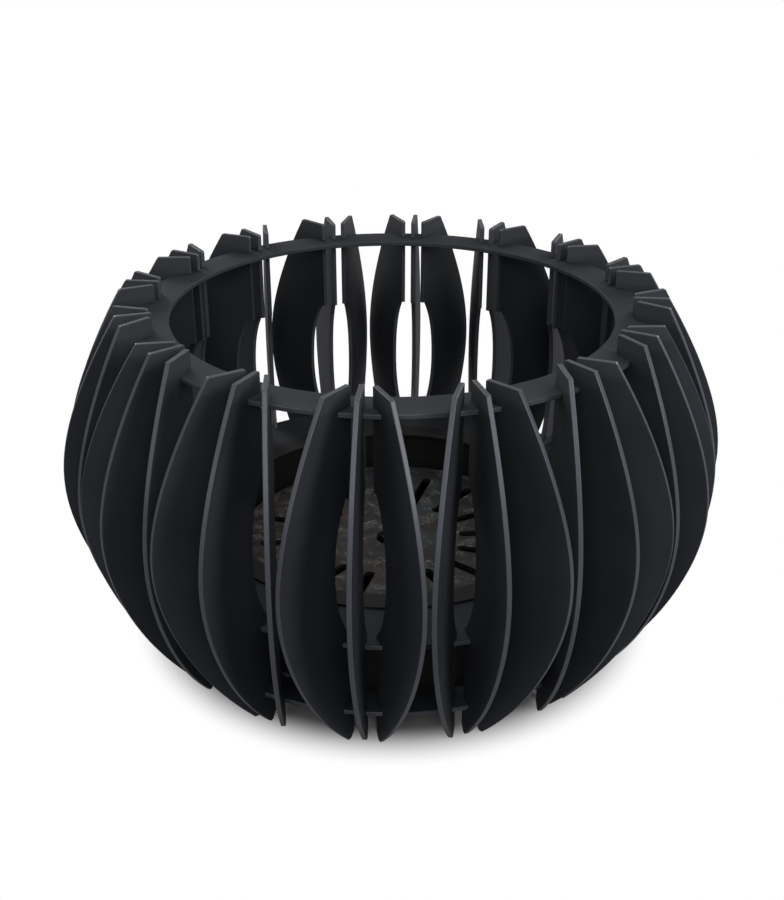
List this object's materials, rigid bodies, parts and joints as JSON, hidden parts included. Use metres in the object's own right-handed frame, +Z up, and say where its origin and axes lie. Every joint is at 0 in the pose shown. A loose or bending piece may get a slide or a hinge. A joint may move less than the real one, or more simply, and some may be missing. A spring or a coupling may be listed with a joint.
{
  "type": "fire pit",
  "caption": "Round open fire pit of black steel: fans of upright curved fins slotted into flat rings, with a lift-out fire bowl and loose grate.",
  "frame": {"origin": "centre of the circle of fins, on the ground", "axes": "+Z up; the middle fin of the first fan faces -Y, towards the viewer; +X to the viewer's right"},
  "size_m": [0.8632, 0.8632, 0.4641],
  "materials": {
    "black_coated_steel": "satin black heat-proof coating on laser-cut steel plate",
    "fired_steel": "dull steel sheet darkened by fire and soot"
  },
  "bodies": {
    "frame": {"fin_01_left": "black_coated_steel", "fin_01_middle": "black_coated_steel", "fin_01_right": "black_coated_steel", "fin_02_left": "black_coated_steel", "fin_02_middle": "black_coated_steel", "fin_02_right": "black_coated_steel", "fin_03_left": "black_coated_steel", "fin_03_middle": "black_coated_steel", "fin_03_right": "black_coated_steel", "fin_04_left": "black_coated_steel", "fin_04_middle": "black_coated_steel", "fin_04_right": "black_coated_steel", "fin_05_left": "black_coated_steel", "fin_05_middle": "black_coated_steel", "fin_05_right": "black_coated_steel", "fin_06_left": "black_coated_steel", "fin_06_middle": "black_coated_steel", "fin_06_right": "black_coated_steel", "fin_07_left": "black_coated_steel", "fin_07_middle": "black_coated_steel", "fin_07_right": "black_coated_steel", "fin_08_left": "black_coated_steel", "fin_08_middle": "black_coated_steel", "fin_08_right": "black_coated_steel", "fin_09_left": "black_coated_steel", "fin_09_middle": "black_coated_steel", "fin_09_right": "black_coated_steel", "fin_10_left": "black_coated_steel", "fin_10_middle": "black_coated_steel", "fin_10_right": "black_coated_steel", "fin_11_left": "black_coated_steel", "fin_11_middle": "black_coated_steel", "fin_11_right": "black_coated_steel", "fin_12_left": "black_coated_steel", "fin_12_middle": "black_coated_steel", "fin_12_right": "black_coated_steel", "fin_13_left": "black_coated_steel", "fin_13_middle": "black_coated_steel", "fin_13_right": "black_coated_steel", "fin_14_left": "black_coated_steel", "fin_14_middle": "black_coated_steel", "fin_14_right": "black_coated_steel", "fin_15_left": "black_coated_steel", "fin_15_middle": "black_coated_steel", "fin_15_right": "black_coated_steel", "fin_16_left": "black_coated_steel", "fin_16_middle": "black_coated_steel", "fin_16_right": "black_coated_steel", "top_ring": "black_coated_steel", "middle_ring": "black_coated_steel", "base_ring": "black_coated_steel"},
    "fire_bowl": {"bowl_flange": "fired_steel", "bowl_wall": "fired_steel", "bowl_floor": "fired_steel"},
    "grate": {"grate_disc": "fired_steel", "grate_stand_lower": "fired_steel", "grate_stand_upper": "fired_steel"}
  },
  "joints": [
    {"name": "bowl_lift", "type": "slide", "parent": "frame", "child": "fire_bowl", "axis": [0, 0, 1], "range_m": [0, 0.46]},
    {"name": "grate_lift", "type": "slide", "parent": "fire_bowl", "child": "grate", "axis": [0, 0, 1], "range_m": [0, 0.15]}
  ]
}
